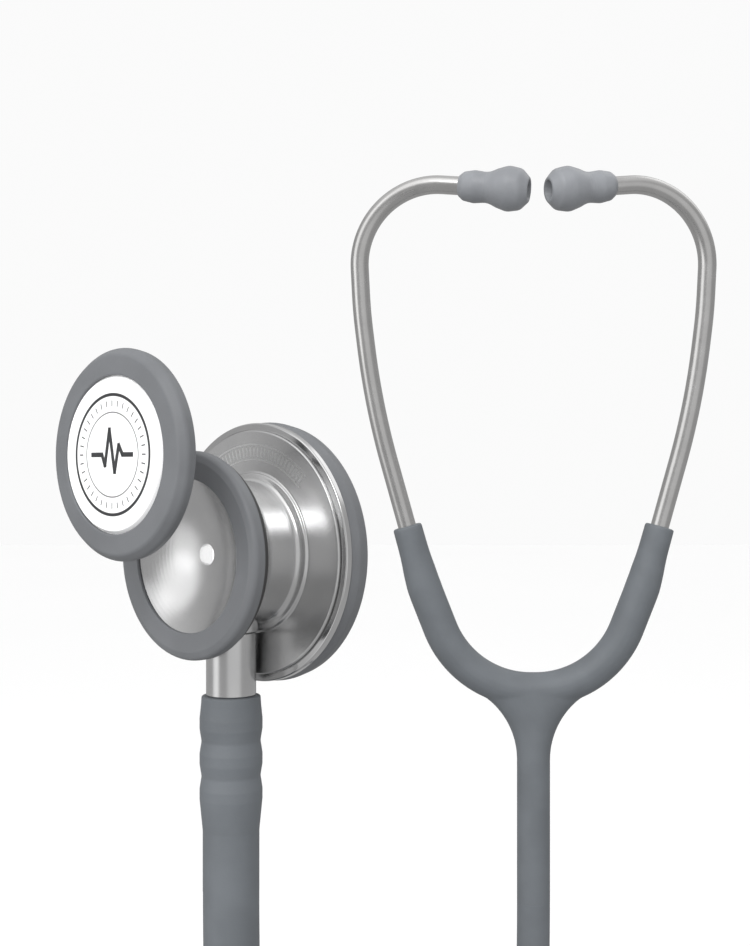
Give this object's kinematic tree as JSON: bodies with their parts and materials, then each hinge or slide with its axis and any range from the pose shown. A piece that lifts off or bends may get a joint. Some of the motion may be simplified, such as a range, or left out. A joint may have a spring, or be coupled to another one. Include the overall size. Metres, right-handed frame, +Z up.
{
  "type": "stethoscope",
  "caption": "Dual-sided stethoscope: sprung headset with ear tubes and ear tips, Y yoke, flexible tube and a turning chestpiece with open bell and diaphragm.",
  "frame": {"origin": "midway between the two ear tips, at their height, as the headset is worn", "axes": "+Z up along the headset, +X from the left ear tube to the right one as seen from the front, -Y forwards towards the chestpiece"},
  "size_m": [0.1583, 0.2138, 0.3459],
  "materials": {
    "satin_steel": "satin, turned",
    "ear_tube_steel": "bright anodised satin",
    "spring_steel": "plain",
    "diaphragm_white": "smooth, with a fine printed ring",
    "white_acetal": "smooth",
    "core_nylon": "moulded",
    "grey_rim": "satin moulded",
    "grey_tubing": "satin moulded",
    "grey_eartip": "soft, slightly glossy"
  },
  "bodies": {
    "headset": {"yoke": "grey_tubing", "leaf_spring": "spring_steel", "tube": "grey_tubing", "tube_collar": "grey_tubing", "stem": "satin_steel", "valve_sleeve": "white_acetal", "detent_balls": "spring_steel", "detent_spring": "spring_steel"},
    "left_arm": {"left_ear_tube": "ear_tube_steel", "left_spring_clip": "spring_steel"},
    "right_arm": {"right_ear_tube": "ear_tube_steel", "right_spring_clip": "spring_steel"},
    "left_tip": {"left_eartip": "grey_eartip", "left_eartip_core": "core_nylon"},
    "right_tip": {"right_eartip": "grey_eartip", "right_eartip_core": "core_nylon"},
    "chestpiece": {"chestpiece_body": "satin_steel", "large_rim": "grey_rim", "bell_sleeve": "grey_rim", "retaining_ring": "spring_steel"},
    "wide_diaphragm": {"large_diaphragm": "diaphragm_white"},
    "small_cap": {"small_rim": "grey_rim"},
    "cap_diaphragm": {"small_diaphragm": "diaphragm_white"}
  },
  "joints": [
    {"name": "left_arm_spread", "type": "hinge", "parent": "headset", "child": "left_arm", "pos_m": [-0.02079, 0.0146, -0.14119], "axis": [0, -1, 0], "range_deg": [0, 30], "stiffness_Nm_per_rad": 1.5, "deforming": ["yoke", "leaf_spring"]},
    {"name": "right_arm_spread", "type": "hinge", "parent": "headset", "child": "right_arm", "pos_m": [0.02079, 0.0146, -0.14119], "axis": [0, 1, 0], "range_deg": [0, 30], "stiffness_Nm_per_rad": 1.5, "deforming": ["yoke", "leaf_spring"]},
    {"name": "left_tip_twist", "type": "hinge", "parent": "left_arm", "child": "left_tip", "pos_m": [-0.0028, 0.0009, -0.00115], "axis": [-0.9602, 0.2569, 0.1097], "continuous": true},
    {"name": "right_tip_twist", "type": "hinge", "parent": "right_arm", "child": "right_tip", "pos_m": [0.0028, 0.0009, -0.00115], "axis": [0.9602, 0.2569, 0.1097], "continuous": true},
    {"name": "chestpiece_turn", "type": "hinge", "parent": "headset", "child": "chestpiece", "pos_m": [-0.0735, -0.164, -0.0984], "axis": [0, 0, 1], "continuous": true, "deforming": ["detent_balls", "detent_spring"]},
    {"name": "wide_diaphragm_press", "type": "slide", "parent": "chestpiece", "child": "wide_diaphragm", "axis": [-0.682, -0.7314, 0], "range_m": [0, 0.0004], "stiffness_N_per_m": 1000},
    {"name": "small_cap_travel", "type": "slide", "parent": "chestpiece", "child": "small_cap", "axis": [-0.4342, -0.4656, 0.7712], "range_m": [-0.017, 0]},
    {"name": "cap_diaphragm_press", "type": "slide", "parent": "small_cap", "child": "cap_diaphragm", "axis": [0.682, 0.7314, 0], "range_m": [0, 0.0003], "stiffness_N_per_m": 1000}
  ]
}
